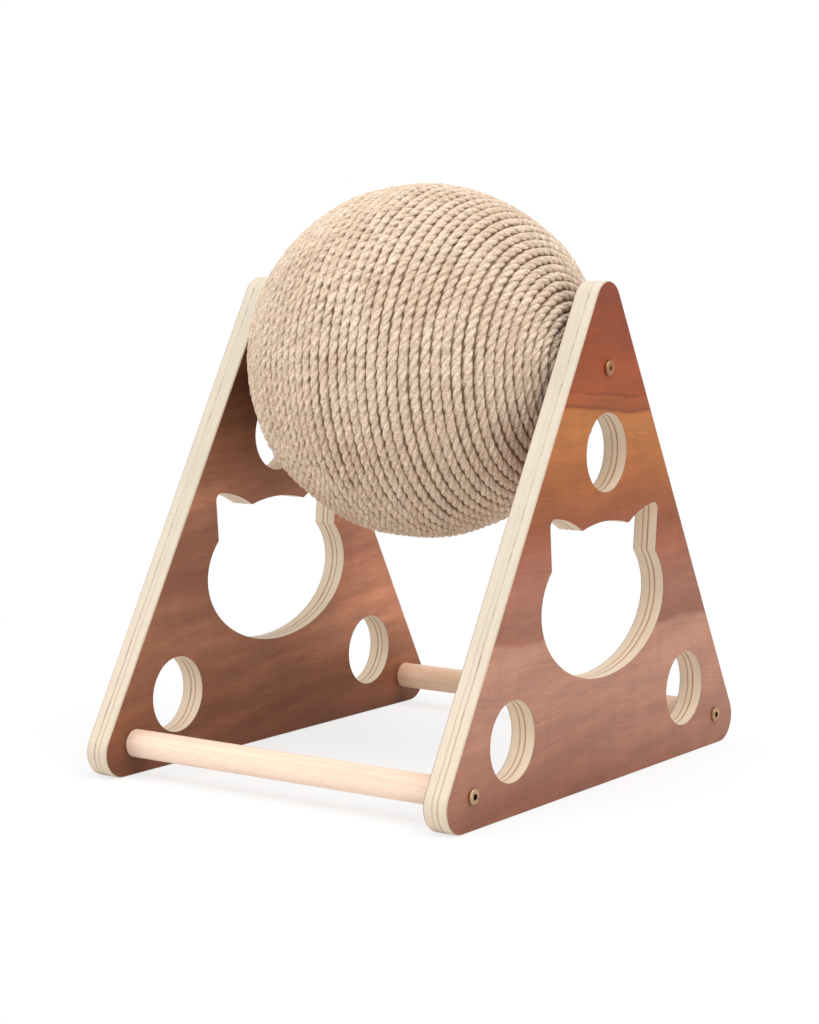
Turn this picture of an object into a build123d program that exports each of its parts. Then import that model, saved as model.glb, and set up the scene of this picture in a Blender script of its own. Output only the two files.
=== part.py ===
from build123d import *
import math
import os

import numpy as np

# Cat scratching ball: a rope-wound ball that turns on a wooden axle between two triangular panels.
# Millimetres. X runs along the axle towards the right panel, -Y is the front, Z is up.
# The origin is in the middle of the footprint, on the surface that the object stands on.

# Rope winding
ball_radius = 83.3  # outside of the rope at the middle of the ball
ball_half_length = 85.5  # outside of the rope along the axle: the ball is a little longer than it is high
rope_diameter = 8.4  # thicker than the real 5 mm rope, so that 24 turns cover the ball
rope_turn_gap = 0.48  # between one turn and the next, at least
rope_sides = 8  # the rope's section is a polygon with its corners this diameter apart
rope_seat_gap = 0.2  # between the turns and what they are wound on
rope_end_bend = 9.0  # radius of the bend where each end of the rope dives into the core
rope_end_spread = 2.4  # extra room beside the outermost turn, for the diving end
rope_end_ease = 0.5  # how quickly that extra room fades, in turns
rope_hole_gap = 0.15  # around the rope's end in its hole
slope_step = 0.0001  # in turns, between the points that give the rope's direction
gap_step = 1.0  # along the rope, between the points on which its gap to itself is measured

# Ball core, two moulded half shells
core_wall = 2.5
core_lap = 5.0  # how far the lapped edge of the right half reaches into the left one
core_lap_gap = 0.1
hub_wall = 2.0
hub_depth = 22.0
cutting_room = 1.0  # how far a cutting profile reaches past the core

# Sleeve, bushes and axle
axle_diameter = 13.0
axle_running_gap = 0.08  # radial
bush_wall = 2.0
bush_length = 16.0
bush_flange_rim = 5.9  # how far the flange stands out past the barrel
bush_flange_thickness = 1.5
sleeve_wall = 1.9
sleeve_proud = 0.45  # how far the sleeve's end stands past the outermost turn
push_fit_gap = 0.05  # radial, between parts that are pushed together and glued
washer_thickness = 1.2
washer_rim = 5.5  # from the axle to the washer's outer edge
washer_bore_gap = 0.2  # radial
end_play = 0.3  # at each end, between the bush's flange and the washer

# Panels
panel_base = 274.0  # bottom edge, before its corners are rounded
panel_height = 240.0  # to the apex, before it is rounded
panel_thickness = 12.0  # plywood and both veneers
foot_radius = 12.0
apex_radius = 11.0
veneer_thickness = 0.6
veneer_setback = 0.4  # the sanded edge leaves the veneer this far short of the plywood
axle_below_apex = 50.0
hole_radius = 18.0
upper_hole_drop = 38.0  # from the axle down to the upper hole
lower_hole_inset = 59.5  # from the sharp corner, along the floor
lower_hole_height = 33.0

# Cat-head cut-out, measured from the middle of its oval face
cat_half_width = 55.0
cat_half_height = 34.7
web_over_cat = 13.0  # wood left between the upper hole and the crown
crown_rise = 36.5
ear_base_y = 20.7
ear_base_rise = 33.9
ear_bow_y = 35.0
ear_bow_rise = 39.8
ear_tip_y = 48.6
ear_tip_rise = 41.5
ear_tip_radius = 3.5
cheek_y = 46.6  # where the outer edge of the ear meets the oval

# Rails
rail_diameter = 13.0
rail_inset = 28.0  # from the sharp corner, along the floor
rail_height = 15.0
dowel_chamfer = 0.8

# Socket-head screws
screw_length = 38.0  # under the head
shank_radius = 1.9
tip_length = 4.0
tip_radius = 0.4
head_radius = 3.5
head_height = 1.5
head_edge = 0.4
socket_across_flats = 2.5
socket_depth = 2.2
panel_screw_gap = 0.3  # radial, around the screw in the panel
pilot_gap = 0.05  # radial, around the screw in the dowel
pilot_extra = 2.0  # how much deeper the pilot hole goes than the screw

# Sizes that follow from those above
rope_radius = rope_diameter / 2
rope_pitch = rope_diameter + rope_turn_gap
line_half_length = ball_half_length - rope_radius  # the rope's middle lies on this spheroid
line_radius = ball_radius - rope_radius
core_half_length = line_half_length - rope_radius - rope_seat_gap
core_radius = line_radius - rope_radius - rope_seat_gap
axle_radius = axle_diameter / 2
washer_radius = axle_radius + washer_rim
bush_bore = axle_radius + axle_running_gap
bush_radius = bush_bore + bush_wall
flange_radius = bush_radius + bush_flange_rim
sleeve_bore = bush_radius + push_fit_gap
sleeve_radius = sleeve_bore + sleeve_wall
hub_bore = sleeve_radius + push_fit_gap
hub_radius = hub_bore + hub_wall
eye_radius = sleeve_radius + 2 * rope_seat_gap + rope_radius  # ring of the outermost turn
eye_angle = math.asin(eye_radius / line_radius)
sleeve_half_length = line_half_length * math.cos(eye_angle) + rope_radius + sleeve_proud
half_gap = sleeve_half_length + bush_flange_thickness + end_play + washer_thickness
axle_height = panel_height - axle_below_apex
upper_hole_height = axle_height - upper_hole_drop
cat_height = upper_hole_height - hole_radius - web_over_cat - crown_rise
half_base = panel_base / 2
lower_hole_y = half_base - lower_hole_inset
rail_y = half_base - rail_inset

# Middle of the ball, and the lines of the three dowels in Y and Z
ball_centre = Pos(0, 0, axle_height)
axle_line = (0, axle_height)
front_line = (-rail_y, rail_height)
rear_line = (rail_y, rail_height)


def save(name, shape):
    """Writes one node."""
    export_step(shape, f"parts/{name}.step")
    print(name, "volume", round(shape.volume, 1), "mm3")


def plate(face, x, thickness):
    """A plate whose face is drawn in Y and Z, from x outwards."""
    return Pos(x, 0, 0) * extrude(Plane.YZ * face, thickness)


def tube(outer, bore, start, end):
    """A round tube along X from start to end."""
    length = end - start
    ring = Cylinder(outer, length) - Cylinder(bore, length)
    return Pos((start + end) / 2, 0, 0) * Rot(0, 90, 0) * ring


def panel_outline():
    """The triangle of a panel with its rounded corners."""
    corners = [(-half_base, 0), (half_base, 0), (0, panel_height)]
    outline = make_face(Polyline(*corners, close=True))
    outline = fillet(outline.vertices().sort_by(Axis.Y)[-1], apex_radius)
    return fillet(outline.vertices().group_by(Axis.Y)[0], foot_radius)


def ear(side):
    """One ear, from the cheek up its steep outer edge and down the bowed inner edge to the crown."""
    cheek_rise = cat_half_height * math.sqrt(1 - (cheek_y / cat_half_width) ** 2)
    cheek = (side * cheek_y, cheek_rise)
    tip = (side * ear_tip_y, ear_tip_rise)
    bow = (side * ear_bow_y, ear_bow_rise)
    base = (side * ear_base_y, ear_base_rise)
    inside = (side * ear_base_y, 0)
    edges = Line(cheek, tip) + ThreePointArc(tip, bow, base) + Polyline(base, inside, cheek)
    outline = make_face(edges)
    tip_corner = outline.vertices().sort_by(Axis.Y)[-1]
    return fillet(tip_corner, ear_tip_radius)


def cat_head():
    """Oval face, a crown a little flatter than the oval and two ears."""
    left_base = (-ear_base_y, ear_base_rise)
    right_base = (ear_base_y, ear_base_rise)
    crown_arc = ThreePointArc(left_base, (0, crown_rise), right_base)
    crown_sides = Polyline(right_base, (ear_base_y, 0), (-ear_base_y, 0), left_base)
    crown = make_face(crown_arc + crown_sides)
    head = Ellipse(cat_half_width, cat_half_height) + crown + ear(-1) + ear(1)
    return Pos(0, cat_height) * head


def openings():
    """Everything that is cut through a panel: the cat head, three round holes and three screw holes."""
    hole_places = [
        (0, upper_hole_height),
        (-lower_hole_y, lower_hole_height),
        (lower_hole_y, lower_hole_height),
    ]
    cut = cat_head()
    for place in hole_places:
        cut += Pos(*place) * Circle(hole_radius)
    for line in (axle_line, front_line, rear_line):
        cut += Pos(*line) * Circle(shank_radius + panel_screw_gap)
    return cut


def panel_layers():
    """Plywood core, inner veneer and outer veneer of the right panel."""
    outline = panel_outline()
    holes = openings()
    veneer_face = offset(outline, -veneer_setback) - holes
    core_x = half_gap + veneer_thickness
    outer_x = half_gap + panel_thickness - veneer_thickness
    return {
        "panel_plywood": plate(outline - holes, core_x, outer_x - core_x),
        "panel_inner_veneer": plate(veneer_face, half_gap, veneer_thickness),
        "panel_outer_veneer": plate(veneer_face, outer_x, veneer_thickness),
    }


def dowel(diameter, line):
    """A dowel from panel to panel with eased ends and a pilot hole in each end."""
    rod = Rot(0, 90, 0) * Cylinder(diameter / 2, 2 * half_gap)
    rod = chamfer(rod.edges().filter_by(GeomType.CIRCLE), dowel_chamfer)
    pilot_depth = screw_length - panel_thickness + pilot_extra
    for side in (-1, 1):
        middle = side * (half_gap - pilot_depth / 2)
        rod -= Pos(middle, 0, 0) * Rot(0, 90, 0) * Cylinder(shank_radius + pilot_gap, pilot_depth)
    return Pos(0, *line) * rod


def screw(line):
    """A screw of the right panel: low round head with a hexagon socket, plain shank and pointed end."""
    profile = [
        (-screw_length, 0),
        (-screw_length, tip_radius),
        (tip_length - screw_length, shank_radius),
        (0, shank_radius),
        (0, head_radius),
        (head_height, head_radius),
        (head_height, 0),
    ]
    body = revolve(make_face(Polyline(*profile, close=True)), Axis.X)
    rim = body.edges().filter_by(GeomType.CIRCLE).group_by(Axis.X)[-1]
    body = chamfer(rim, head_edge)
    hexagon = RegularPolygon(socket_across_flats / 2, 6, major_radius=False)
    body -= Pos(head_height, 0, 0) * extrude(Plane.YZ * hexagon, -socket_depth)
    return Pos(half_gap + panel_thickness, *line) * body


def washer():
    """Flat washer on the axle against the right panel."""
    ring = tube(washer_radius, axle_radius + washer_bore_gap, half_gap - washer_thickness, half_gap)
    return ball_centre * ring


def bush():
    """Flanged bush in the right end of the sleeve."""
    barrel = tube(bush_radius, bush_bore, sleeve_half_length - bush_length, sleeve_half_length)
    flange_end = sleeve_half_length + bush_flange_thickness
    flange = tube(flange_radius, bush_bore, sleeve_half_length, flange_end)
    return ball_centre * (barrel + flange)


def sleeve():
    """Tube through the ball, which joins the two hubs and holds the bushes."""
    return ball_centre * tube(sleeve_radius, sleeve_bore, -sleeve_half_length, sleeve_half_length)


def winding_point(turns, total):
    """Point of the rope's middle line after a number of turns, from the right pole to the left one."""
    spread = rope_end_spread / line_radius
    steady = (math.pi - 2 * eye_angle - 2 * spread) * turns / total
    opening = spread * (1 - math.exp(-turns / rope_end_ease))
    closing = spread * math.exp((turns - total) / rope_end_ease)
    angle = eye_angle + steady + opening + closing
    ring = line_radius * math.sin(angle)
    x = line_half_length * math.cos(angle)
    turn = 2 * math.pi * turns
    return Vector(x, -ring * math.sin(turn), ring * math.cos(turn))


def winding_direction(turns, total):
    """Unit direction of the rope there."""
    before = winding_point(turns - slope_step, total)
    after = winding_point(turns + slope_step, total)
    return (after - before).normalized()


def biarc(start, start_direction, end, end_direction):
    """Two arcs that join two points and keep both directions."""
    chord = end - start
    both = start_direction + end_direction
    spread = 2 * (1 - start_direction.dot(end_direction))
    along = chord.dot(both)
    reach = (math.sqrt(along**2 + spread * chord.dot(chord)) - along) / spread
    first = start + start_direction * reach
    second = end - end_direction * reach
    joint = (first + second) / 2
    return [
        Edge.make_tangent_arc(start, start_direction, joint),
        Edge.make_tangent_arc(joint, second - first, end),
    ]


def rope_end(point, direction, inward):
    """Straight tail and bend of one end of the rope, as edges from the tail to the outermost turn."""
    turn = math.acos(direction.dot(-inward))
    reach = rope_end_bend * math.tan(turn / 2)
    corner = point - direction * reach
    bend_start = corner + inward * reach
    tail_start = bend_start + inward * rope_diameter
    return [
        Edge.make_line(tail_start, bend_start),
        Edge.make_tangent_arc(bend_start, -inward, point),
    ]


def winding_route():
    """Edges of the rope's middle line: one end, the turns in half-turn steps, the other end."""
    narrowest = min(line_radius, line_half_length)
    meridian = narrowest * (math.pi - 2 * eye_angle) - 2 * rope_end_spread
    half_turns = math.floor(2 * meridian / rope_pitch)
    total = half_turns / 2
    first = winding_point(0, total), winding_direction(0, total)
    last = winding_point(total, total), winding_direction(total, total)
    right_end = rope_end(first[0], first[1], Vector(-1, 0, 0))
    left_end = rope_end(last[0], last[1] * -1, Vector(1, 0, 0))
    turns = []
    for step in range(half_turns):
        here = winding_point(step / 2, total), winding_direction(step / 2, total)
        there = winding_point((step + 1) / 2, total), winding_direction((step + 1) / 2, total)
        turns += biarc(*here, *there)
    print("rope turns", total)
    return right_end, turns, left_end


def least_gap(route):
    """Smallest distance between the rope's surface and itself, past three diameters along the rope."""
    count = math.ceil(route.length / gap_step)
    line = np.array([tuple(route @ (index / count)) for index in range(count + 1)])
    skip = math.ceil(3 * rope_diameter / gap_step)
    nearest = min(
        np.linalg.norm(line[index + skip :] - line[index], axis=1).min()
        for index in range(len(line) - skip)
    )
    return nearest - rope_diameter


def swept(section, route):
    """A section swept along a route that starts along X, with the section's own x axis along Y."""
    start = Plane(route @ 0, x_dir=(0, 1, 0), z_dir=route % 0)
    return sweep(start * section, path=route, clean=False)


def core_half(side, rope_hole):
    """Half of the hollow core with its hub. The right half's lapped edge goes inside the left one's."""
    reach = max(core_half_length, core_radius) + cutting_room
    own_side = Pos(side * reach / 2, reach / 2) * Rectangle(reach, reach)
    outer = Ellipse(core_half_length, core_radius)
    inner = Ellipse(core_half_length - core_wall, core_radius - core_wall)
    hub_middle = side * (core_half_length - hub_depth / 2)
    hub = Pos(hub_middle, hub_radius / 2) * Rectangle(hub_depth, hub_radius)
    bore = Pos(side * reach / 2, 0) * Rectangle(reach, 2 * hub_bore)
    lap_zone = Pos(-core_lap / 2, reach / 2) * Rectangle(core_lap, reach)
    half_wall = core_wall / 2
    if side > 0:
        lip_wall = half_wall + core_lap_gap
        lip = Ellipse(core_half_length - lip_wall, core_radius - lip_wall) - inner
        profile = ((outer - inner) & own_side) + (lip & lap_zone)
    else:
        rebate = Ellipse(core_half_length - half_wall, core_radius - half_wall) & lap_zone
        profile = ((outer - inner) & own_side) - rebate
    profile = profile + (hub & outer & own_side) - bore
    return ball_centre * (revolve(profile, Axis.X) - rope_hole)


def build():
    """Builds every node and writes it."""
    os.makedirs("parts", exist_ok=True)
    for name, layer in panel_layers().items():
        save(f"right_{name}", layer)
        save(f"left_{name}", mirror(layer, about=Plane.YZ))
    save("front_rail", dowel(rail_diameter, front_line))
    save("rear_rail", dowel(rail_diameter, rear_line))
    save("axle", dowel(axle_diameter, axle_line))
    for name, line in {"axle": axle_line, "front_rail": front_line, "rear_rail": rear_line}.items():
        right_screw = screw(line)
        save(f"{name}_screw_right", right_screw)
        save(f"{name}_screw_left", mirror(right_screw, about=Plane.YZ))
    for name, shape in {"spacer_washer": washer(), "bush": bush()}.items():
        save(f"{name}_right", shape)
        save(f"{name}_left", mirror(shape, about=Plane.YZ))
    save("core_sleeve", sleeve())
    right_end, turns, left_end = winding_route()
    rope_hole = Circle(rope_radius + rope_hole_gap)
    save("core_half_right", core_half(1, swept(rope_hole, Wire(right_end))))
    save("core_half_left", core_half(-1, swept(rope_hole, Wire(left_end))))
    route = Wire(right_end + turns + left_end)
    print("rope length", round(route.length), "least gap to itself", round(least_gap(route), 3), "mm")
    rope_section = RegularPolygon(rope_radius, rope_sides)
    save("rope_winding", ball_centre * swept(rope_section, route))


build()
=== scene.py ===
"""Looks of the cat scratching ball: wood, rope, screws and a plain studio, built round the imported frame.

Metres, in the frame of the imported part: X runs along the axle towards the right panel, -Y is the front
and Z is up.
"""
import logging
import math
from dataclasses import dataclass, field, replace
from enum import Enum

import bpy
import numpy as np
from mathutils import Matrix, Vector


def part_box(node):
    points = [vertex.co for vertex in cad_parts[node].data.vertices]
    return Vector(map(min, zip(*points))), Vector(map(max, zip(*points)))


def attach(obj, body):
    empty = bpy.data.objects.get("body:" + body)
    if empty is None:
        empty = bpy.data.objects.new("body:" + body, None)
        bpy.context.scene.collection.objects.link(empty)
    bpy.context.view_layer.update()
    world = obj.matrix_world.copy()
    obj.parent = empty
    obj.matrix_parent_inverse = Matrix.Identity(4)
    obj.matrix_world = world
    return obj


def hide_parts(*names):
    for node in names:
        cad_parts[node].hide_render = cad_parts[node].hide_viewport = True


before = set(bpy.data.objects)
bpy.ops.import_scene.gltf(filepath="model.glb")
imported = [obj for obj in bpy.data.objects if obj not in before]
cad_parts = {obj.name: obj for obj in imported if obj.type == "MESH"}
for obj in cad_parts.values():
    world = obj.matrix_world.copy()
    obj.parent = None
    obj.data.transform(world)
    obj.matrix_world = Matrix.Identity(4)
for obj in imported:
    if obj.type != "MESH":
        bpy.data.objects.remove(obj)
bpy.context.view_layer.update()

Colour = tuple[int, int, int]
Stops = tuple[tuple[float, Colour], ...]
Pair = tuple[float, float]
Triple = tuple[float, float, float]
Quad = tuple[float, float, float, float]
Material = bpy.types.Material
Piece = bpy.types.Object
Socket = bpy.types.NodeSocket
Value = Socket | float
Paint = Value | tuple[float, ...]
log = logging.getLogger("scratching_ball")


class Side(Enum):
    """A side of the stand, with the sign of its X."""

    RIGHT = 1
    LEFT = -1

    @property
    def word(self) -> str:
        """The side's word in the names of nodes."""
        return self.name.lower()


class Body(Enum):
    """The two bodies of the part."""

    STAND = "stand"
    BALL = "ball"


class Slot(Enum):
    """Material slots of the part."""

    ROPE = "sisal_rope"


class Calc(Enum):
    """Sums that the finishes use."""

    ADD = "ADD"
    TAKE = "SUBTRACT"
    TIMES = "MULTIPLY"
    SIZE = "ABSOLUTE"
    LEAST = "MINIMUM"
    MOST = "MAXIMUM"
    ROOT = "SQRT"


class Blend(Enum):
    """Ways of laying one colour over another."""

    MIX = "MIX"
    TIMES = "MULTIPLY"


def linear(colour: Colour) -> Quad:
    """Scene-linear colour of one that is written in steps of 0 to 255.

    Args:
        colour: red, green and blue as they look on a screen.

    Returns:
        Red, green, blue and an opacity of 1.
    """
    shares = [step / 255 for step in colour]
    red, green, blue = (s / 12.92 if s <= 0.04045 else ((s + 0.055) / 1.055) ** 2.4 for s in shares)
    return red, green, blue, 1.0


@dataclass(frozen=True)
class Grain:
    """One layer of noise in a finish, with so many features per metre along each axis.

    Detail and roughness say how many finer layers it has and how strong they are. Its values mostly keep
    within reach of 0.5, and that span is spread over the shares.
    """

    scale: Triple
    detail: float = 2.0
    roughness: float = 0.5
    shares: Pair = (0.0, 1.0)
    reach: float = 0.2


class Nodes:
    """A node tree, with short calls for the nodes that the finishes and the surround share."""

    def __init__(self, tree: bpy.types.NodeTree) -> None:
        """Starts with no nodes.

        Args:
            tree: the tree.
        """
        self.tree = tree
        self.tree.nodes.clear()

    def add(self, kind: str, **settings: object) -> bpy.types.Node:
        """Adds a node.

        Args:
            kind: the node's type.
            settings: properties of the node.

        Returns:
            The node.
        """
        node = self.tree.nodes.new(kind)
        for key, value in settings.items():
            setattr(node, key, value)
        return node

    def feed(self, slot: Socket, value: Paint) -> None:
        """Links a socket's output to an input, or sets the input to a plain value.

        Args:
            slot: the input.
            value: an output, a number or several numbers.
        """
        if isinstance(value, Socket):
            self.tree.links.new(value, slot)
        else:
            slot.default_value = value

    def sum(self, calc: Calc, first: Value, second: Value = 0.0) -> Socket:
        """Works out one sum.

        Args:
            calc: the sum.
            first: its first value.
            second: its second value.

        Returns:
            The result.
        """
        node = self.add("ShaderNodeMath", operation=calc.value)
        self.feed(node.inputs[0], first)
        self.feed(node.inputs[1], second)
        return node.outputs[0]

    def place(self) -> Socket:
        """The point's place in the object's own frame."""
        return self.add("ShaderNodeTexCoord").outputs["Object"]

    def axes(self, vector: Socket) -> tuple[Socket, ...]:
        """Splits a vector.

        Args:
            vector: the vector.

        Returns:
            Its X, Y and Z.
        """
        node = self.add("ShaderNodeSeparateXYZ")
        self.feed(node.inputs[0], vector)
        return tuple(node.outputs)

    def vector(self, x: Value, y: Value, z: Value) -> Socket:
        """Puts three numbers together.

        Args:
            x: the first.
            y: the second.
            z: the third.

        Returns:
            The vector.
        """
        node = self.add("ShaderNodeCombineXYZ")
        for slot, value in zip(node.inputs, (x, y, z)):
            self.feed(slot, value)
        return node.outputs[0]

    def weigh(self, first: Value, share: float, second: Value, other_share: float) -> Socket:
        """Adds two numbers with a weight each.

        Args:
            first: the first number.
            share: its weight.
            second: the second number.
            other_share: its weight.

        Returns:
            The weighted sum.
        """
        part = self.sum(Calc.TIMES, first, share)
        return self.sum(Calc.ADD, part, self.sum(Calc.TIMES, second, other_share))

    def length(self, across: Socket, above: Socket) -> Socket:
        """Works out how far a point is from an axis.

        Args:
            across: its distance one way.
            above: its distance the other way.

        Returns:
            The distance.
        """
        square = self.sum(Calc.TIMES, across, across)
        square = self.sum(Calc.ADD, square, self.sum(Calc.TIMES, above, above))
        return self.sum(Calc.ROOT, square)

    def noise(self, vector: Socket, grain: Grain, shift: Triple = (0, 0, 0)) -> Socket:
        """Reads one layer of smooth noise.

        Args:
            vector: where it is read.
            grain: the layer.
            shift: moves the layer, in features along each axis.

        Returns:
            A number from 0 to 1, mostly near 0.5.
        """
        stretched = self.add("ShaderNodeMapping")
        self.feed(stretched.inputs["Vector"], vector)
        stretched.inputs["Scale"].default_value = grain.scale
        stretched.inputs["Location"].default_value = shift
        node = self.add("ShaderNodeTexNoise")
        self.feed(node.inputs["Vector"], stretched.outputs[0])
        node.inputs["Scale"].default_value = 1.0
        node.inputs["Detail"].default_value = grain.detail
        node.inputs["Roughness"].default_value = grain.roughness
        return node.outputs["Fac"]

    def span(
        self, value: Value, low: float, high: float, new_low: float = 0.0, new_high: float = 1.0
    ) -> Socket:
        """Maps a number from one span to another, smoothly and without leaving it.

        Args:
            value: the number.
            low: start of its span.
            high: end of its span.
            new_low: start of the new span.
            new_high: end of the new span.

        Returns:
            The new number.
        """
        node = self.add("ShaderNodeMapRange", interpolation_type="SMOOTHSTEP")
        self.feed(node.inputs["Value"], value)
        ends = {"From Min": low, "From Max": high, "To Min": new_low, "To Max": new_high}
        for key, number in ends.items():
            node.inputs[key].default_value = number
        return node.outputs[0]

    def spread(self, noise: Socket, shares: Pair = (0.0, 1.0), reach: float = 0.2) -> Socket:
        """Spreads the span that noise mostly keeps to over another span.

        Args:
            noise: the noise.
            shares: start and end of the new span.
            reach: how far from 0.5 the noise's own span goes each way.

        Returns:
            The new number.
        """
        return self.span(noise, 0.5 - reach, 0.5 + reach, *shares)

    def ramp(self, value: Value, stops: Stops) -> Socket:
        """Colours a number.

        Args:
            value: the number, 0 to 1.
            stops: places and colours, in order.

        Returns:
            The colour.
        """
        node = self.add("ShaderNodeValToRGB")
        self.feed(node.inputs[0], value)
        steps = node.color_ramp.elements
        while len(steps) > 1:
            steps.remove(steps[-1])
        steps[0].position = stops[0][0]
        steps[0].color = linear(stops[0][1])
        for position, colour in stops[1:]:
            steps.new(position).color = linear(colour)
        return node.outputs["Color"]

    def lay(self, under: Paint, over: Paint, share: Value, blend: Blend = Blend.MIX) -> Socket:
        """Lays one colour over another.

        Args:
            under: the first colour.
            over: the second colour.
            share: how much of the second shows.
            blend: the way of laying it.

        Returns:
            The mixed colour.
        """
        node = self.add("ShaderNodeMix", data_type="RGBA", blend_type=blend.value)
        self.feed(node.inputs[0], share)
        self.feed(node.inputs[6], under)
        self.feed(node.inputs[7], over)
        return node.outputs[2]

    def grey(self, value: Socket) -> Socket:
        """A grey as bright as the number."""
        return self.vector(value, value, value)

    def tone(self, colour: Paint, noise: Socket, grain: Grain) -> Socket:
        """Darkens and lightens a colour by noise.

        Args:
            colour: the colour.
            noise: the noise.
            grain: its layer, with the shares of the colour to keep.

        Returns:
            The new colour.
        """
        shade = self.grey(self.spread(noise, grain.shares, grain.reach))
        return self.lay(colour, shade, 1.0, Blend.TIMES)

    def bump(self, height: Value, depth: float, under: Socket | None = None) -> Socket:
        """Raises the surface by a height map.

        Args:
            height: the map, 0 to 1.
            depth: how far 1 stands over 0, in metres.
            under: a coarser bump that this one lies on.

        Returns:
            The bumped normal.
        """
        node = self.add("ShaderNodeBump")
        node.inputs["Strength"].default_value = 1.0
        node.inputs["Distance"].default_value = depth
        self.feed(node.inputs["Height"], height)
        if under is not None:
            self.feed(node.inputs["Normal"], under)
        return node.outputs[0]

    def seen(self) -> Socket:
        """1 for rays that look at a thing, straight, by reflection or through another, and 0 for light."""
        rays = self.add("ShaderNodeLightPath").outputs
        seen = self.sum(Calc.MOST, rays["Is Camera Ray"], rays["Is Glossy Ray"])
        return self.sum(Calc.MOST, seen, rays["Is Transmission Ray"])


class Finish(Nodes):
    """The node tree of one material."""

    def __init__(self, name: str) -> None:
        """Starts a material with one shader.

        Args:
            name: the material's name.
        """
        self.material = bpy.data.materials.new(name)
        self.material.use_nodes = True
        super().__init__(self.material.node_tree)
        self.output = self.add("ShaderNodeOutputMaterial")
        self.shader = self.add("ShaderNodeBsdfPrincipled")
        self.feed(self.output.inputs["Surface"], self.shader.outputs["BSDF"])

    def done(
        self,
        colour: Paint,
        roughness: Value,
        normal: Socket | None = None,
        **uniform: float | tuple,
    ) -> Material:
        """Feeds the shader.

        Args:
            colour: base colour.
            roughness: roughness.
            normal: bumped normal.
            uniform: values that are the same all over, by the shader's own words with _ for spaces.

        Returns:
            The material.
        """
        self.feed(self.shader.inputs["Base Color"], colour)
        self.feed(self.shader.inputs["Roughness"], roughness)
        if normal is not None:
            self.feed(self.shader.inputs["Normal"], normal)
        for key, value in uniform.items():
            self.shader.inputs[key.replace("_", " ")].default_value = value
        return self.material


@dataclass(frozen=True)
class WalnutFinish:
    """Walnut veneer under a satin lacquer, on a pale backing that shows at its edge.

    Broad bands over the height, a wavy figure, and fine grain and pores along Y, with painted light towards
    the rear where a sheet asks for it.
    """

    name: str
    bands: Stops
    cut: Triple
    face: float
    height: float = 0.24
    sheet: float = 0.00014
    slope: float = 0.06
    painted_rear_light: float = 0.0
    painted_light_rear_span: Pair = (-0.02, 0.10)
    painted_light_foot_span: Quad = (0.02, 0.055, 0.1, 1.0)
    sweep_slope: float = 0.16
    sweep_depth: float = 0.09
    drift: Grain = Grain((0, 5, 8), shares=(-0.005, 0.005))
    ripple: Grain = Grain((0, 24, 34), shares=(-0.0011, 0.0011))
    figure: Grain = Grain((1, 4, 190), 4.0, 0.55, (0.91, 1.06))
    streak: Grain = Grain((1, 16, 1150), 3.0, 0.65, (0.92, 1.06), 0.22)
    sweep: Grain = Grain((1, 9, 95), 3.0, 0.6)
    mottle: Grain = Grain((0, 75, 50), shares=(0.95, 1.05))
    pores: Grain = Grain((1, 120, 3300), 1.0)
    pore_span: Pair = (0.62, 0.72)
    pore_share: float = 0.3
    pore_colour: Colour = (92, 52, 36)
    backing: Colour = (204, 193, 175)
    dullness: Pair = (0.44, 0.54)
    relief: float = 0.00004

    def make(self) -> Material:
        """Builds the material."""
        finish = Finish(self.name)
        place = finish.place()
        x, y, z = finish.axes(place)
        drift = finish.spread(finish.noise(place, self.drift, self.cut), self.drift.shares)
        ripple = finish.spread(finish.noise(place, self.ripple, self.cut), self.ripple.shares)
        wave = finish.sum(Calc.ADD, drift, ripple)
        level = finish.sum(Calc.ADD, finish.sum(Calc.ADD, z, wave), finish.sum(Calc.TIMES, y, self.slope))
        colour = finish.ramp(finish.sum(Calc.TIMES, level, 1 / self.height), self.bands)
        flow = finish.vector(self.cut[0], y, level)
        figure = finish.noise(flow, self.figure, self.cut)
        colour = finish.tone(colour, figure, self.figure)
        streak = finish.noise(flow, self.streak, self.cut)
        colour = finish.tone(colour, streak, self.streak)
        colour = self.swept(finish, colour, y, z)
        colour = finish.tone(colour, finish.noise(place, self.mottle, self.cut), self.mottle)
        pore = finish.span(finish.noise(flow, self.pores, self.cut), *self.pore_span)
        colour = finish.lay(colour, linear(self.pore_colour), finish.sum(Calc.TIMES, pore, self.pore_share))
        depth = finish.sum(Calc.SIZE, finish.sum(Calc.TAKE, finish.sum(Calc.SIZE, x), self.face))
        colour = finish.lay(colour, linear(self.backing), finish.span(depth, self.sheet, self.sheet * 1.5))
        height = finish.weigh(streak, 0.4, pore, -0.6)
        dull = finish.spread(figure, self.dullness)
        return finish.done(colour, dull, finish.bump(height, self.relief), Specular_IOR_Level=0.2)

    def swept(self, finish: Finish, colour: Socket, y: Socket, z: Socket) -> Socket:
        """Lays slanting sweeps over the bands and lightens the sheet towards the rear as painted light.

        Args:
            finish: the material's nodes.
            colour: the colour so far.
            y: place along Y.
            z: height.

        Returns:
            The new colour.
        """
        rising = finish.sum(Calc.TAKE, z, finish.sum(Calc.TIMES, y, self.sweep_slope))
        noise = finish.noise(finish.vector(self.cut[1], y, rising), self.sweep, self.cut)
        shares = (1 - self.sweep_depth, 1 + self.sweep_depth)
        colour = finish.tone(colour, noise, replace(self.sweep, shares=shares))
        # Painted light: the sheet is lightened towards the rear, less so at the foot.
        painted_light = finish.span(y, *self.painted_light_rear_span, 0.0, self.painted_rear_light)
        painted_light = finish.sum(Calc.TIMES, painted_light, finish.span(z, *self.painted_light_foot_span))
        return finish.lay(colour, finish.grey(finish.sum(Calc.ADD, painted_light, 1.0)), 1.0, Blend.TIMES)


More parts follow.
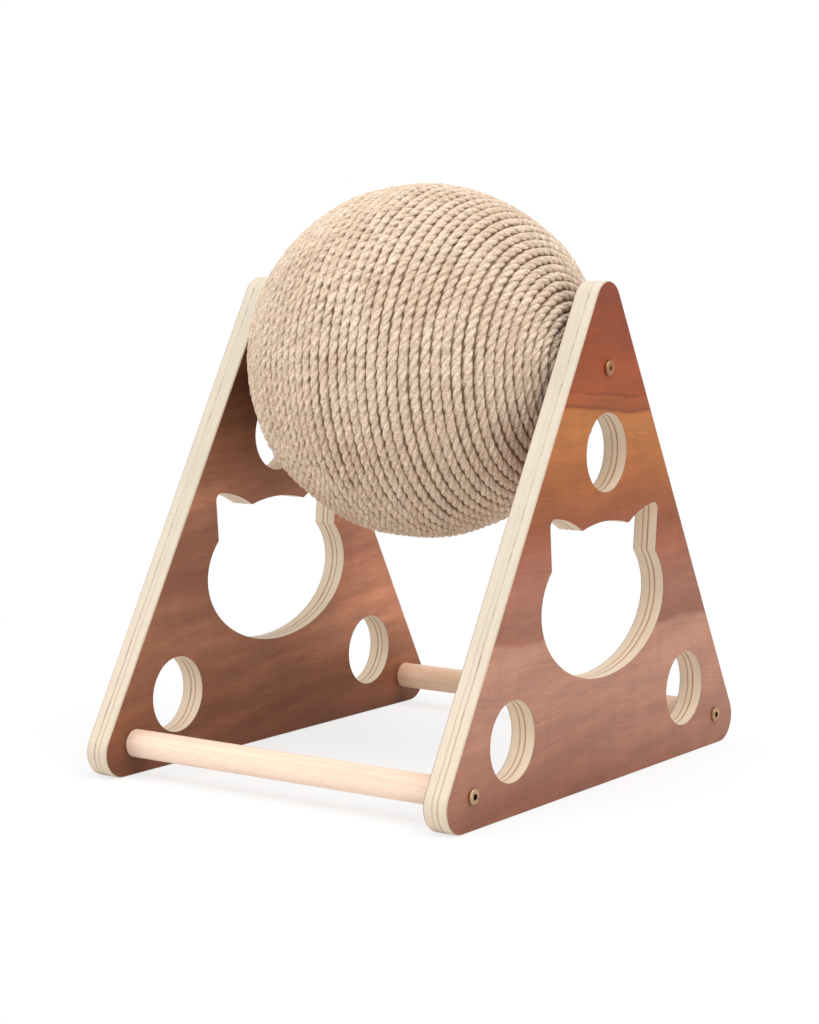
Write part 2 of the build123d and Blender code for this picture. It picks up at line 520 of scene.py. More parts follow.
@dataclass(frozen=True)
class PlywoodFinish:
    """Birch plywood seen at its edges: five plies across the thickness, with the cross plies darker.

    The plies stand out in the cut-outs and are faint along the panel's outline, except low down.
    """

    inner_face: float
    thickness: float
    half_base: float = 0.137
    height: float = 0.24
    faint_plies: Stops = (
        (0.0, (203, 191, 172)),
        (0.31, (205, 193, 175)),
        (0.35, (200, 188, 168)),
        (0.40, (201, 189, 170)),
        (0.44, (202, 191, 173)),
        (0.55, (202, 192, 174)),
        (0.585, (192, 182, 162)),
        (0.62, (194, 184, 165)),
        (0.66, (206, 194, 176)),
        (1.0, (204, 191, 172)),
    )
    strong_plies: Stops = (
        (0.0, (216, 196, 172)),
        (0.325, (218, 199, 175)),
        (0.355, (178, 142, 110)),
        (0.385, (186, 152, 120)),
        (0.43, (219, 200, 176)),
        (0.545, (219, 200, 176)),
        (0.58, (168, 132, 101)),
        (0.61, (176, 142, 111)),
        (0.655, (218, 198, 174)),
        (1.0, (215, 195, 170)),
    )
    rim: Pair = (0.008, 0.010)
    low_part: Pair = (0.015, 0.14)
    dashed_ply: float = 0.6
    dashed_span: Quad = (0.018, 0.05, 1.0, 0.0)
    dash_span: Pair = (0.50, 0.62)
    dash_share: float = 0.6
    dash_colour: Colour = (132, 112, 92)
    wander: Grain = Grain((0, 45, 45), shares=(-0.012, 0.012))
    dash: Grain = Grain((500, 110, 110), 4.0, 0.75)
    fibre: Grain = Grain((2600, 90, 90), 3.0, 0.6, (0.955, 1.03))
    patch: Grain = Grain((30, 30, 30), shares=(0.965, 1.02))
    patch_shift: Triple = (3, 1, 7)
    ends: Grain = Grain((1500, 1500, 1500), 1.0)
    dullness: Pair = (0.5, 0.62)
    relief: float = 0.00005

    def make(self) -> Material:
        """Builds the material."""
        finish = Finish("birch_plywood_edge")
        place = finish.place()
        x, y, z = finish.axes(place)
        depth = finish.sum(Calc.TAKE, finish.sum(Calc.SIZE, x), self.inner_face)
        wander = finish.spread(finish.noise(place, self.wander), self.wander.shares)
        share = finish.sum(Calc.ADD, finish.sum(Calc.TIMES, depth, 1 / self.thickness), wander)
        faint = finish.ramp(share, self.faint_plies)
        strong = finish.ramp(share, self.strong_plies)
        colour = finish.lay(faint, strong, self.strength(finish, y, z))
        away = finish.sum(Calc.SIZE, finish.sum(Calc.TAKE, share, self.dashed_ply))
        cross_ply = finish.span(away, *self.dashed_span)
        dash = finish.span(finish.noise(place, self.dash), *self.dash_span)
        dashes = finish.sum(Calc.TIMES, finish.sum(Calc.TIMES, cross_ply, dash), self.dash_share)
        colour = finish.lay(colour, linear(self.dash_colour), dashes)
        fibre = finish.noise(place, self.fibre)
        colour = finish.tone(colour, fibre, self.fibre)
        colour = finish.tone(colour, finish.noise(place, self.patch, self.patch_shift), self.patch)
        height = finish.weigh(fibre, 0.6, finish.noise(place, self.ends), 0.4)
        return finish.done(colour, finish.spread(fibre, self.dullness), finish.bump(height, self.relief))

    def strength(self, finish: Finish, y: Socket, z: Socket) -> Socket:
        """Works out how strongly the plies show.

        Args:
            finish: the material's nodes.
            y: place along Y.
            z: height.

        Returns:
            1 away from the panel's outline, 0 on it, and up to a half on its low part.
        """
        lean = math.atan2(self.height, self.half_base)
        across = finish.sum(Calc.TAKE, self.half_base, finish.sum(Calc.SIZE, y))
        level = finish.sum(Calc.TIMES, across, math.sin(lean))
        side_room = finish.sum(Calc.TAKE, level, finish.sum(Calc.TIMES, z, math.cos(lean)))
        inside = finish.span(finish.sum(Calc.LEAST, side_room, z), *self.rim)
        return finish.sum(Calc.MOST, inside, finish.span(z, *self.low_part, 0.5, 0.0))


@dataclass(frozen=True)
class BeechFinish:
    """Bare sanded beech of the dowels: fine streaks and short ray flecks along X."""

    name: str
    pale: Colour = (241, 216, 196)
    deep: Colour = (231, 198, 174)
    cut: Triple = (0, 0, 0)
    streak: Grain = Grain((7, 420, 420), 3.0, 0.6)
    broad: Grain = Grain((5, 90, 90))
    contrast: float = 0.14
    fleck: Grain = Grain((330, 2400, 2400), 1.0)
    fleck_span: Pair = (0.63, 0.71)
    fleck_share: float = 0.4
    fleck_colour: Colour = (190, 146, 112)
    dullness: Pair = (0.5, 0.62)
    relief: float = 0.00005

    def make(self) -> Material:
        """Builds the material."""
        finish = Finish(self.name)
        place = finish.place()
        streak = finish.noise(place, self.streak, self.cut)
        grain = finish.weigh(streak, 0.55, finish.noise(place, self.broad, self.cut), 0.45)
        shade = finish.spread(grain, reach=self.contrast)
        colour = finish.ramp(shade, ((0.0, self.deep), (1.0, self.pale)))
        fleck = finish.span(finish.noise(place, self.fleck, self.cut), *self.fleck_span)
        flecks = finish.sum(Calc.TIMES, fleck, self.fleck_share)
        colour = finish.lay(colour, linear(self.fleck_colour), flecks)
        height = finish.sum(Calc.TAKE, streak, flecks)
        return finish.done(colour, finish.spread(streak, self.dullness), finish.bump(height, self.relief))


@dataclass(frozen=True)
class SteelFinish:
    """Satin plated steel of a screw, turned round its own axis, with its socket painted in one flat colour,
    which is painted shade on most screws and painted light on the axle screws.
    """

    name: str
    y: float
    z: float
    plating: Stops = ((0.0, (160, 126, 94)), (1.0, (190, 156, 122)))
    socket: float = 0.00145
    socket_painted_shading: Colour = (70, 44, 26)
    turning: Grain = Grain((9000, 3500, 1))
    cloud: Grain = Grain((420, 420, 420))
    dullness: Pair = (0.3, 0.44)
    relief: float = 0.00001

    def make(self) -> Material:
        """Builds the material."""
        finish = Finish(self.name)
        place = finish.place()
        x, y, z = finish.axes(place)
        across = finish.sum(Calc.TAKE, y, self.y)
        above = finish.sum(Calc.TAKE, z, self.z)
        radius = finish.length(across, above)
        turned = finish.noise(finish.vector(radius, x, 0.0), self.turning)
        colour = finish.ramp(finish.spread(finish.noise(place, self.cloud)), self.plating)
        # Mask of the socket, which is painted over in one colour as painted shade or, on the axle screws,
        # painted light.
        socket = finish.span(radius, self.socket * 0.93, self.socket, 1.0, 0.0)
        colour = finish.lay(colour, linear(self.socket_painted_shading), socket)
        dull = finish.spread(turned, self.dullness)
        return finish.done(colour, dull, finish.bump(turned, self.relief), Metallic=1.0)


@dataclass(frozen=True)
class MouldedFinish:
    """Moulded plastic of the hidden parts: an even colour with a fine sparked grain."""

    name: str
    colour: Colour
    flow: Grain = Grain((28, 28, 28), 3.0, shares=(0.95, 1.04))
    grain: Grain = Grain((2600, 2600, 2600), 1.0)
    dullness: Pair = (0.45, 0.6)
    relief: float = 0.00003

    def make(self) -> Material:
        """Builds the material."""
        finish = Finish(self.name)
        place = finish.place()
        grain = finish.noise(place, self.grain)
        colour = finish.tone(linear(self.colour), finish.noise(place, self.flow), self.flow)
        return finish.done(colour, finish.spread(grain, self.dullness), finish.bump(grain, self.relief))


@dataclass(frozen=True)
class RopeFinish:
    """Twisted natural fibre, pale on the crests, with painted shade: tan in the creases of the lay and
    brown between the turns.
    """

    crest: Colour = (245, 223, 200)
    crest_warm: Colour = (230, 203, 178)
    # Painted shade: the tan laid into the creases of the lay stands in for the shade there.
    crease: Colour = (208, 178, 150)
    # Painted shade: the brown laid between the turns stands in for the shade in the gaps.
    gap: Colour = (138, 108, 80)
    hairs: Grain = Grain((130, 3300, 3300), 3.0, 0.7, (0.74, 1.16), 0.22)
    yarns: Grain = Grain((60, 1100, 1100), shares=(0.84, 1.10))
    tufts: Grain = Grain((780, 780, 780), 3.0, 0.6, (0.80, 1.15))
    slow: Grain = Grain((26, 60, 60), 3.0)
    patch: Grain = Grain((34, 34, 34), 3.0)
    contrast: float = 0.14
    parting: Grain = Grain((140, 140, 140), 2.0, 0.6)
    parting_shift: Triple = (5, 2, 8)
    parting_span: Quad = (0.43, 0.62, 0.05, 0.85)
    crease_shade_span: Quad = (0.3, 1.0, 0.0, 0.3)
    gap_shade_span: Pair = (0.25, 0.85)
    dullness: float = 0.86
    tuft_relief: float = 0.0013
    fibre_relief: float = 0.0005

    def make(self) -> Material:
        """Builds the material."""
        finish = Finish("sisal_rope_fibre")
        place = finish.place()
        fibre = self.read(finish, "fibre")
        # How deep each point lies in a crease and between the turns, read back to paint shade there.
        crease, gap, _ = finish.axes(self.read(finish, "painted_shade_depths"))
        hairs = finish.noise(fibre, self.hairs)
        yarns = finish.noise(fibre, self.yarns)
        tufts = finish.noise(place, self.tufts)
        warmth = finish.weigh(finish.noise(fibre, self.slow), 0.5, finish.noise(place, self.patch), 0.5)
        warmth = finish.spread(warmth, reach=self.contrast)
        colour = finish.ramp(warmth, ((0.0, self.crest_warm), (1.0, self.crest)))
        colour = finish.tone(colour, hairs, self.hairs)
        colour = finish.tone(colour, yarns, self.yarns)
        colour = finish.tone(colour, tufts, self.tufts)
        # Painted shade in the creases of the lay.
        colour = finish.lay(colour, linear(self.crease), finish.span(crease, *self.crease_shade_span))
        # Painted shade between the turns, stronger where the noise says the turns part.
        parting = finish.noise(place, self.parting, self.parting_shift)
        parted = finish.span(parting, *self.parting_span)
        deep = finish.sum(Calc.TIMES, finish.span(gap, *self.gap_shade_span), parted)
        colour = finish.lay(colour, linear(self.gap), deep)
        height = finish.weigh(hairs, 0.5, yarns, 0.5)
        normal = finish.bump(height, self.fibre_relief, finish.bump(tufts, self.tuft_relief))
        return finish.done(colour, self.dullness, normal, Specular_IOR_Level=0.2)

    def read(self, finish: Finish, name: str) -> Socket:
        """Reads what the strand's mesh holds at each point.

        Args:
            finish: the material's nodes.
            name: the attribute.

        Returns:
            Its vector.
        """
        return finish.add("ShaderNodeAttribute", attribute_name=name).outputs["Vector"]


@dataclass(frozen=True)
class GlueFinish:
    """Dried glue and fibre dust between the rope and the core."""

    colour: Colour = (150, 122, 98)
    lumps: Grain = Grain((300, 300, 300), 3.0, shares=(0.75, 1.1))
    dullness: float = 0.8
    relief: float = 0.0003

    def make(self) -> Material:
        """Builds the material."""
        finish = Finish("rope_glue")
        lumps = finish.noise(finish.place(), self.lumps)
        colour = finish.tone(linear(self.colour), lumps, self.lumps)
        return finish.done(colour, self.dullness, finish.bump(lumps, self.relief))


def dress(node: str, material: Material) -> None:
    """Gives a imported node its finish.

    Args:
        node: the node's name.
        material: the finish.
    """
    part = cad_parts[node]
    if not part.material_slots:
        part.data.materials.append(material)
    for slot in part.material_slots:
        slot.material = material
    log.info("dressed %s in %s", node, material.name)


def closed_mesh(name: str, points: np.ndarray, quads: np.ndarray, caps: list[list[int]]) -> Piece:
    """Makes a smooth closed mesh.

    Args:
        name: the piece's name.
        points: its points, one row each.
        quads: its four-sided faces, one row of point numbers each.
        caps: faces with more sides, as lists of point numbers.

    Returns:
        The new object.
    """
    mesh = bpy.data.meshes.new(name)
    corners = np.concatenate([quads.ravel(), np.array([i for cap in caps for i in cap], int)])
    sizes = np.array([4] * len(quads) + [len(cap) for cap in caps])
    mesh.vertices.add(len(points))
    mesh.vertices.foreach_set("co", points.astype(np.float32).ravel())
    mesh.loops.add(len(corners))
    mesh.loops.foreach_set("vertex_index", corners.astype(np.int32))
    mesh.polygons.add(len(sizes))
    mesh.polygons.foreach_set("loop_start", (np.cumsum(sizes) - sizes).astype(np.int32))
    mesh.polygons.foreach_set("use_smooth", np.ones(len(sizes), bool))
    mesh.update(calc_edges=True)
    mesh.validate()
    piece = bpy.data.objects.new(name, mesh)
    bpy.context.scene.collection.objects.link(piece)
    return piece


def ring_quads(rings: int, around: int, closed: bool) -> np.ndarray:
    """Faces between rings of points.

    Args:
        rings: how many rings.
        around: points in each ring.
        closed: whether the last ring joins the first.

    Returns:
        Point numbers, four to a row.
    """
    steps = rings if closed else rings - 1
    ring = np.repeat(np.arange(steps), around)
    spoke = np.tile(np.arange(around), steps)
    here = ring * around
    there = (ring + 1) % rings * around
    following = (spoke + 1) % around
    return np.stack([here + spoke, here + following, there + following, there + spoke], axis=1)


def unit(rows: np.ndarray) -> np.ndarray:
    """Rows of vectors, each made one long."""
    return rows / np.linalg.norm(rows, axis=1, keepdims=True)


@dataclass
class SidePanel:
    """One side panel: its plywood and the walnut veneer on both of its faces."""

    side: Side
    inner: WalnutFinish
    outer: WalnutFinish

    def build(self, plywood: Material) -> None:
        """Dresses the panel's three layers.

        Args:
            plywood: the finish of the plywood.
        """
        dress(f"{self.side.word}_panel_plywood", plywood)
        dress(f"{self.side.word}_panel_inner_veneer", self.inner.make())
        dress(f"{self.side.word}_panel_outer_veneer", self.outer.make())


@dataclass
class Dowels:
    """The axle and the two rails."""

    cut_step: Pair = (3.1, 1.7)
    # The rear rail is painted a little paler and warmer, as painted light that lifts it out of the ball's
    # shade.
    rear_pale_painted_light: Colour = (245, 217, 190)
    rear_deep_painted_light: Colour = (238, 201, 171)

    def build(self) -> None:
        """Dresses each dowel, cut from its own place in the log."""
        for number, node in enumerate(("front_rail", "rear_rail", "axle")):
            cut = (number * self.cut_step[0], number * self.cut_step[1], 0)
            finish = BeechFinish(f"beech_{node}", cut=cut)
            # Painted light on the rear rail.
            if node == "rear_rail":
                finish = replace(finish, pale=self.rear_pale_painted_light, deep=self.rear_deep_painted_light)
            dress(node, finish.make())


@dataclass
class Screws:
    """Six socket-head screws, three through each panel."""

    rods: tuple[str, ...] = ("axle", "front_rail", "rear_rail")
    # The axle screws' plating is painted darker than the others' as painted shade, standing in for how they
    # catch the light.
    dull: Stops = ((0.0, (150, 108, 76)), (1.0, (172, 128, 92)))
    # Pale socket colour of the axle screws, painted light over the socket's shade.
    axle_socket_painted_light: Colour = (214, 172, 132)

    def build(self) -> None:
        """Dresses each screw round its own axis."""
        for rod in self.rods:
            for side in Side:
                node = f"{rod}_screw_{side.word}"
                low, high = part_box(node)
                finish = SteelFinish(f"plated_{node}", (low.y + high.y) / 2, (low.z + high.z) / 2)
                # Painted shade on the axle screws' plating, and painted light in their sockets.
                if rod == "axle":
                    finish = replace(finish, plating=self.dull, socket_painted_shading=self.axle_socket_painted_light)
                dress(node, finish.make())


@dataclass
class RunningParts:
    """What carries the ball and is mostly out of sight: core, sleeve, bushes and washers."""

    core_colour: Colour = (205, 190, 168)
    bush_colour: Colour = (206, 194, 176)

    def build(self) -> None:
        """Dresses the moulded parts."""
        core = MouldedFinish("core_moulding", self.core_colour).make()
        bush = MouldedFinish("bush_moulding", self.bush_colour).make()
        for node in ("core_half_right", "core_half_left", "core_sleeve"):
            dress(node, core)
        for node in ("bush_right", "bush_left", "spacer_washer_right", "spacer_washer_left"):
            dress(node, bush)


@dataclass
class RopeWinding:
    """The ball's rope: three strands laid together and wound in one layer from eye to eye."""

    centre: Vector
    radius: float = 0.0833
    half_length: float = 0.0858
    left_half_length: float = 0.0838
    rope_radius: float = 0.00240
    pitch: float = 0.00471
    lay: float = 0.0160
    strand_radius: float = 0.00136
    strand_offset: float = 0.00108
    eye_ring: float = 0.01335
    end_bend: float = 0.007
    end_tail: float = 0.006
    steps: int = 12400
    fine_steps: int = 360
    ring_angles: tuple[float, ...] = (0, 36, 73, 112, 180, -112, -73, -36)
    wander: float = 0.0005
    tuft: float = 0.045
    core_radius: float = 0.0748
    core_half_length: float = 0.0770
    skin_eye: float = 0.0118
    skin_around: int = 128
    skin_along: int = 72
    meridian_points: int = 4001
    waves: tuple[int, ...] = (1, 2, 3, 5, 8)
    wave_drift: float = 1.4
    shift_share: float = 0.5
    lift_share: float = 0.4
    bend_points: int = 40
    tail_points: int = 20
    lay_drift: float = 0.45
    lay_gap: int = 14
    strand_drift: float = 0.07
    thick_gap: int = 7
    middle_gap: int = 6
    fibre_shift: float = 40.0
    seed: int = 7

    def __post_init__(self) -> None:
        """Works out the half axes of the rope's middle line, and starts the random numbers."""
        self.line_radius = self.radius - self.rope_radius
        self.line_half = self.half_length - self.rope_radius
        self.random = np.random.default_rng(self.seed)

    def half_at(self, angle: np.ndarray) -> np.ndarray:
        """Gives the middle line's half length along X, which is a little less towards the left pole.

        Args:
            angle: angles from the right pole.

        Returns:
            The half length at each angle.
        """
        return np.where(angle < np.pi / 2, self.half_length, self.left_half_length) - self.rope_radius

    def meridian(self) -> tuple[np.ndarray, np.ndarray]:
        """Tabulates the run from eye to eye over the ball.

        Returns:
            Angles from the right pole and the distances there.
        """
        start = math.asin(self.eye_ring / self.line_radius)
        angles = np.linspace(start, math.pi - start, self.meridian_points)
        speed = np.hypot(self.line_half * np.sin(angles), self.line_radius * np.cos(angles))
        steps = (speed[1:] + speed[:-1]) / 2 * np.diff(angles)
        return angles, np.concatenate([[0.0], np.cumsum(steps)])

    def turns(self) -> np.ndarray:
        """Points of the rope's middle line on the ball.

        Returns:
            One row per point, with the ball's middle at the origin.
        """
        angles, distances = self.meridian()
        count = round(distances[-1] / self.pitch)
        turn = np.linspace(0, count, count * self.fine_steps + 1)
        around = 2 * np.pi * turn
        along = turn / count * distances[-1]
        calm = np.clip(np.minimum(turn, count - turn) / 2, 0, 1)
        shift = np.zeros_like(turn)
        lift = np.zeros_like(turn)
        for waves in self.waves:
            phases = self.random.uniform(0, 2 * np.pi, 2)
            drifts = self.random.uniform(-self.wave_drift, self.wave_drift, 2)
            shift += np.sin(waves * around + phases[0] + drifts[0] * turn) / waves**0.7
            lift += np.sin((waves + 1) * around + phases[1] + drifts[1] * turn) / waves
        angle = np.interp(along + self.wander * shift * calm * self.shift_share, distances, angles)
        swell = 1 + self.wander * self.lift_share * lift * calm / self.line_radius
        x = self.half_at(angle) * np.cos(angle) * swell
        ring = self.line_radius * np.sin(angle) * swell
        return np.stack([x, -ring * np.sin(around), ring * np.cos(around)], axis=1)

    def tail(self, point: np.ndarray, away: np.ndarray, inward: np.ndarray) -> np.ndarray:
        """Points of an end that bends into the core.

        Args:
            point: where the turns stop.
            away: unit direction off their end.
            inward: unit direction into the ball.

        Returns:
            Points from beside the turns' end to the tail's tip.
        """
        bend = np.linspace(0, np.pi / 2, self.bend_points)[1:, None]
        arc = point + self.end_bend * (inward * (1 - np.cos(bend)) + away * np.sin(bend))
        straight = arc[-1] + inward * np.linspace(0, self.end_tail, self.tail_points)[1:, None]
        return np.concatenate([arc, straight])

    def route(self) -> np.ndarray:
        """The rope's whole middle line in even steps."""
        turns = self.turns()
        first = unit((turns[0] - turns[1])[None])[0]
        last = unit((turns[-1] - turns[-2])[None])[0]
        start = self.tail(turns[0], first, np.array([-1.0, 0, 0]))
        end = self.tail(turns[-1], last, np.array([1.0, 0, 0]))
        line = np.concatenate([start[::-1], turns, end])
        reach = np.concatenate([[0.0], np.cumsum(np.linalg.norm(np.diff(line, axis=0), axis=1))])
        even = np.linspace(0, reach[-1], self.steps + 1)
        return np.stack([np.interp(even, reach, line[:, axis]) for axis in range(3)], axis=1)

    def smooth_noise(self, count: int, gap: int) -> np.ndarray:
        """Slow random change along the rope.

        Args:
            count: how many values.
            gap: steps between the values that are drawn.

        Returns:
            Values of about -1 to 1.
        """
        drawn = self.random.uniform(-1, 1, count // gap + 3)
        return np.interp(np.arange(count) / gap, np.arange(len(drawn)), drawn)

    def roughness(self, count: int) -> np.ndarray:
        """Gives small uneven swellings of a strand, which differ round its ring.

        Args:
            count: number of rings.

        Returns:
            Shares of the strand's radius, by ring and by point on it.
        """
        uneven = self.random.normal(0.0, self.tuft, (count, len(self.ring_angles)))
        return (uneven + np.roll(uneven, 1, axis=0) + np.roll(uneven, 2, axis=0)) / np.sqrt(3)

    def strand(self, number: int, line: np.ndarray, phase: np.ndarray, reach: np.ndarray) -> Piece:
        """Makes one strand as a closed tube.

        Args:
            number: 0, 1 or 2.
            line: the rope's middle line.
            phase: the lay's angle along it.
            reach: distance along it.

        Returns:
            The strand.
        """
        squares = np.array([self.line_half, self.line_radius, self.line_radius]) ** 2
        tangent = unit(np.gradient(line, axis=0))
        outward = line / squares
        normal = unit(outward - tangent * np.sum(outward * tangent, axis=1, keepdims=True))
        beside = np.cross(tangent, normal)
        turn = (phase + 2 * np.pi * number / 3)[:, None]
        spoke = normal * np.cos(turn) + beside * np.sin(turn)
        swelling = self.strand_drift * self.smooth_noise(len(line), self.thick_gap)[:, None]
        thick = 1 + swelling + self.roughness(len(line))
        shift = self.strand_drift * self.smooth_noise(len(line), self.middle_gap)[:, None]
        middle = line + spoke * self.strand_offset * (1 + shift)
        heading = unit(np.gradient(middle, axis=0))
        up = unit(spoke - heading * np.sum(spoke * heading, axis=1, keepdims=True))
        sideways = np.cross(heading, up)
        angles = np.radians(self.ring_angles)
        around = len(angles)
        size = (self.strand_radius * thick)[:, :, None]
        ring = up[:, None, :] * np.cos(angles)[None, :, None]
        ring = ring + sideways[:, None, :] * np.sin(angles)[None, :, None]
        points = middle[:, None, :] + ring * size
        # How deep each point lies in a crease of the lay, kept for the painted shade there.
        spare = np.linalg.norm(points - line[:, None, :], axis=2)
        crease = np.clip(1 - (spare - self.strand_offset) / self.strand_radius, 0, 1)
        # How far each point sinks below the rope's crest, kept for the painted shade between the turns.
        rise = np.sum((points - line[:, None, :]) * normal[:, None, :], axis=2)
        gap = np.clip(1 - rise / self.rope_radius, 0, 1)
        flat = points.reshape(-1, 3) + np.array(self.centre)
        caps = [list(range(around)), list(range(len(flat) - around, len(flat)))[::-1]]
        quads = ring_quads(len(line), around, False)[:, ::-1]
        piece = closed_mesh(f"rope_strand_{number + 1}", flat, quads, caps)
        yarn = angles[None, :] - (reach / self.lay * np.pi)[:, None]
        along = np.repeat((reach + number * self.fibre_shift)[:, None], around, axis=1)
        across = self.strand_radius * np.cos(yarn)
        above = self.strand_radius * np.sin(yarn)
        fibre = np.stack([along, across, above], axis=2)
        painted_shade_depths = np.stack([crease, gap, np.zeros_like(gap)], axis=2)
        for name, rows in (("fibre", fibre), ("painted_shade_depths", painted_shade_depths)):
            held = piece.data.attributes.new(name, "FLOAT_VECTOR", "POINT")
            held.data.foreach_set("vector", rows.astype(np.float32).ravel())
        return piece

    def bedding(self) -> Piece:
        """Makes the skin of glue between the core and the rope, as a closed ring-shaped shell."""
        start = math.asin(self.skin_eye / self.core_radius)
        angle = np.linspace(start, math.pi - start, self.skin_along)
        outer = np.stack([self.half_at(angle) * np.cos(angle), self.line_radius * np.sin(angle)], axis=1)
        inner = np.stack([self.core_half_length * np.cos(angle), self.core_radius * np.sin(angle)], axis=1)
        profile = np.concatenate([outer, inner[::-1]])
        turn = np.linspace(0, 2 * np.pi, self.skin_around, endpoint=False)
        x = np.repeat(profile[:, :1], self.skin_around, axis=1)
        y = profile[:, 1:] * np.cos(turn)[None, :]
        z = profile[:, 1:] * np.sin(turn)[None, :]
        points = np.stack([x, y, z], axis=2).reshape(-1, 3) + np.array(self.centre)
        quads = ring_quads(len(profile), self.skin_around, True)[:, ::-1]
        return closed_mesh("rope_glue_skin", points, quads, [])

    def build(self) -> None:
        """Makes the strands and the glue skin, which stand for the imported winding."""
        line = self.route()
        reach = np.concatenate([[0.0], np.cumsum(np.linalg.norm(np.diff(line, axis=0), axis=1))])
        drift = self.lay_drift * self.smooth_noise(len(line), self.lay_gap)
        phase = 2 * np.pi * reach / self.lay + drift
        rope = RopeFinish().make()
        for number in range(3):
            strand = self.strand(number, line, phase, reach)
            strand.data.materials.append(rope)
            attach(strand, Body.BALL.value)
            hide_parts("rope_winding")
            log.info("made %s, %.2f m long, %d faces", strand.name, reach[-1], len(strand.data.polygons))
        skin = self.bedding()
        skin.data.materials.append(GlueFinish().make())
        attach(skin, Body.BALL.value)
        log.info("made %s", skin.name)


@dataclass
class Studio:
    """A plain pale floor, soft lamps and a white surround."""

    floor_radius: float = 9.0
    floor_colour: Colour = (236, 235, 233)
    floor_dullness: float = 0.9
    near_radius: float = 0.1
    near_share: float = 0.74
    calm_radius: float = 0.5
    surround: float = 0.6
    target: Triple = (0, 0, 0.13)
    lamps: tuple[tuple[str, Triple, float, float], ...] = (
        ("left_lamp", (-1.2, -1.6, 1.3), 1.6, 17.5),
        ("top_lamp", (0.7, -0.15, 2.0), 2.4, 38.0),
        ("fill_lamp", (1.8, -1.5, 0.7), 1.6, 6.0),
    )

    def floor_finish(self) -> Material:
        """White floor that fades into the background and keeps the shadow near the object."""
        finish = Finish("studio_floor")
        place = finish.place()
        finish.done(linear(self.floor_colour), self.floor_dullness)
        x, y, _ = finish.axes(place)
        radius = finish.length(x, y)
        far = finish.span(radius, self.near_radius, self.calm_radius, self.near_share, 1.0)
        glow = finish.add("ShaderNodeEmission")
        mixer = finish.add("ShaderNodeMixShader")
        finish.feed(mixer.inputs[0], finish.sum(Calc.TIMES, finish.seen(), far))
        finish.feed(mixer.inputs[1], finish.shader.outputs["BSDF"])
        finish.feed(mixer.inputs[2], glow.outputs[0])
        finish.feed(finish.output.inputs["Surface"], mixer.outputs[0])
        return finish.material

    def floor(self) -> None:
        """Makes the floor as a disc."""
        around = 96
        turn = np.linspace(0, 2 * np.pi, around, endpoint=False)
        points = np.stack([np.cos(turn), np.sin(turn), turn * 0], axis=1) * self.floor_radius
        disc = closed_mesh("studio_floor", points, np.zeros((0, 4), int), [list(range(around))])
        disc.data.materials.append(self.floor_finish())

    def world(self) -> None:
        """White surround that lights the object gently and looks white to the camera."""
        world = bpy.data.worlds.new("studio_surround")
        world.use_nodes = True
        bpy.context.scene.world = world
        nodes = Nodes(world.node_tree)
        output = nodes.add("ShaderNodeOutputWorld")
        mixer = nodes.add("ShaderNodeMixShader")
        nodes.feed(mixer.inputs[0], nodes.seen())
        for slot, strength in ((1, self.surround), (2, 1.0)):
            light = nodes.add("ShaderNodeBackground")
            nodes.feed(light.inputs["Color"], (1, 1, 1, 1))
            nodes.feed(light.inputs["Strength"], strength)
            nodes.feed(mixer.inputs[slot], light.outputs[0])
        nodes.feed(output.inputs["Surface"], mixer.outputs[0])

    def build(self) -> None:
        """Sets up the studio, with the lamps facing the target."""
        self.floor()
        self.world()
        for name, place, size, power in self.lamps:
            lamp = bpy.data.lights.new(name, "AREA")
            lamp.shape = "DISK"
            lamp.size = size
            lamp.energy = power
            holder = bpy.data.objects.new(name, lamp)
            holder.location = place
            holder.rotation_mode = "QUATERNION"
            facing = Vector(self.target) - Vector(place)
            holder.rotation_quaternion = facing.to_track_quat("-Z", "Y")
            bpy.context.scene.collection.objects.link(holder)
        view = bpy.context.scene.view_settings
        view.view_transform = "Standard"


@dataclass
class PhotoCamera:
    """The camera at the photograph's angle, as fitted to the panels' edges."""

    azimuth: float = 34.644
    elevation: float = 6.291
    roll: float = 0.2106
    place: Triple = (0.62467, -0.91613, 0.24075)
    lens: float = 82.547
    sensor: float = 36.0

    def build(self) -> None:
        """Makes the camera."""
        turn, tilt, roll = (math.radians(a) for a in (self.azimuth, self.elevation, self.roll))
        back = Vector((math.sin(turn) * math.cos(tilt), -math.cos(turn) * math.cos(tilt), math.sin(tilt)))
        level = Vector((math.cos(turn), math.sin(turn), 0))
        upright = back.cross(level)
        right = level * math.cos(roll) + upright * math.sin(roll)
        up = upright * math.cos(roll) - level * math.sin(roll)
        lens = bpy.data.cameras.new("photo_camera")
        lens.sensor_fit = "VERTICAL"
        lens.sensor_height = self.sensor
        lens.sensor_width = self.sensor
        lens.lens = self.lens
        camera = bpy.data.objects.new("photo_camera", lens)
        turned = Matrix((right, up, back)).transposed().to_4x4()
        camera.matrix_world = Matrix.Translation(self.place) @ turned
        bpy.context.scene.collection.objects.link(camera)
        bpy.context.scene.camera = camera


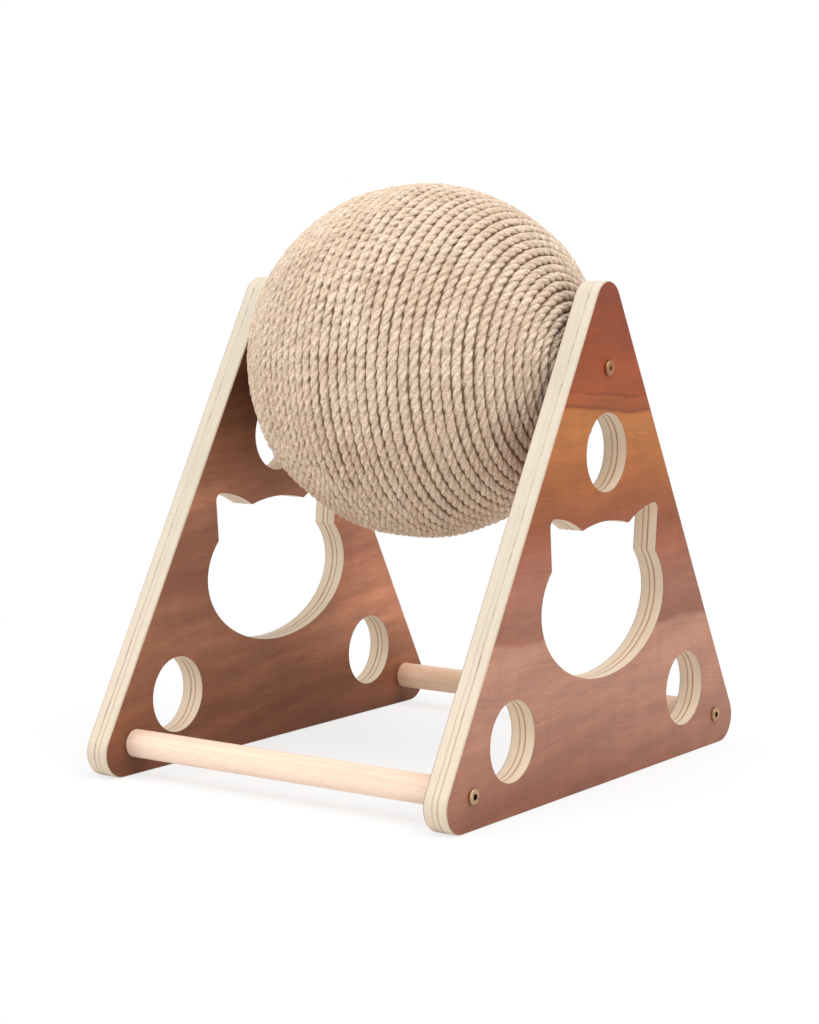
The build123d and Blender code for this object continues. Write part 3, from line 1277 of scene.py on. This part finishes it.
@dataclass
class ScratchingBall:
    """The whole object."""

    axle_height: float = 0.19
    near: Stops = (
        (0.0, (138, 86, 66)),
        (0.08, (158, 108, 88)),
        (0.20, (172, 124, 104)),
        (0.286, (175, 126, 104)),
        (0.296, (148, 96, 77)),
        (0.36, (158, 104, 85)),
        (0.43, (155, 97, 75)),
        (0.50, (143, 80, 50)),
        (0.54, (147, 85, 50)),
        (0.58, (160, 92, 49)),
        (0.63, (174, 105, 55)),
        (0.69, (182, 114, 59)),
        (0.709, (178, 106, 52)),
        (0.714, (126, 60, 32)),
        (0.719, (150, 79, 42)),
        (0.7445, (158, 82, 43)),
        (0.7475, (104, 48, 28)),
        (0.7505, (150, 75, 41)),
        (0.85, (142, 68, 37)),
        (1.0, (130, 60, 35)),
    )
    # Bands of the inner faces. Their dark top is painted shade where the ball shades these faces.
    far: Stops = (
        (0.0, (118, 72, 50)),
        (0.10, (140, 88, 62)),
        (0.22, (160, 108, 82)),
        (0.30, (154, 103, 79)),
        (0.36, (148, 97, 75)),
        (0.42, (152, 101, 78)),
        (0.50, (168, 115, 88)),
        (0.60, (150, 98, 73)),
        (0.70, (104, 63, 42)),
        (0.85, (92, 54, 35)),
        (1.0, (86, 51, 34)),
    )
    panels: list[SidePanel] = field(default_factory=list)

    def veneers(self, inner: float, outer: float) -> dict[str, WalnutFinish]:
        """Chooses the four sheets of veneer, with their bands from the floor up; the inner sheets' bands
        hold painted shade at the top, and the left inner sheet has painted light towards its rear.

        Args:
            inner: distance of the inner faces from the middle.
            outer: distance of the outer faces.

        Returns:
            The finishes by side and face.
        """
        return {
            "right_outer": WalnutFinish("walnut_right_outer", self.near, (0.0, 2.3, 5.1), outer),
            "right_inner": WalnutFinish("walnut_right_inner", self.far, (4.0, 7.3, 1.9), inner),
            "left_inner": WalnutFinish(
                "walnut_left_inner", self.far, (8.0, 1.3, 9.4), inner, painted_rear_light=0.95, sweep_depth=0.17
            ),
            "left_outer": WalnutFinish("walnut_left_outer", self.near, (12.0, 5.7, 3.2), outer),
        }

    def build(self) -> None:
        """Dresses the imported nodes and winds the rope."""
        low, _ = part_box("right_panel_inner_veneer")
        _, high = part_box("right_panel_outer_veneer")
        plywood = PlywoodFinish(low.x, high.x - low.x).make()
        sheets = self.veneers(low.x, high.x)
        for side in Side:
            panel = SidePanel(side, sheets[f"{side.word}_inner"], sheets[f"{side.word}_outer"])
            panel.build(plywood)
            self.panels.append(panel)
        Dowels().build()
        Screws().build()
        RunningParts().build()
        RopeWinding(Vector((0, 0, self.axle_height))).build()


def main() -> None:
    """Builds the camera, the studio and the object."""
    logging.basicConfig(level=logging.INFO, format="%(name)s: %(message)s")
    PhotoCamera().build()
    Studio().build()
    ScratchingBall().build()


if __name__ == "__main__":
    main()
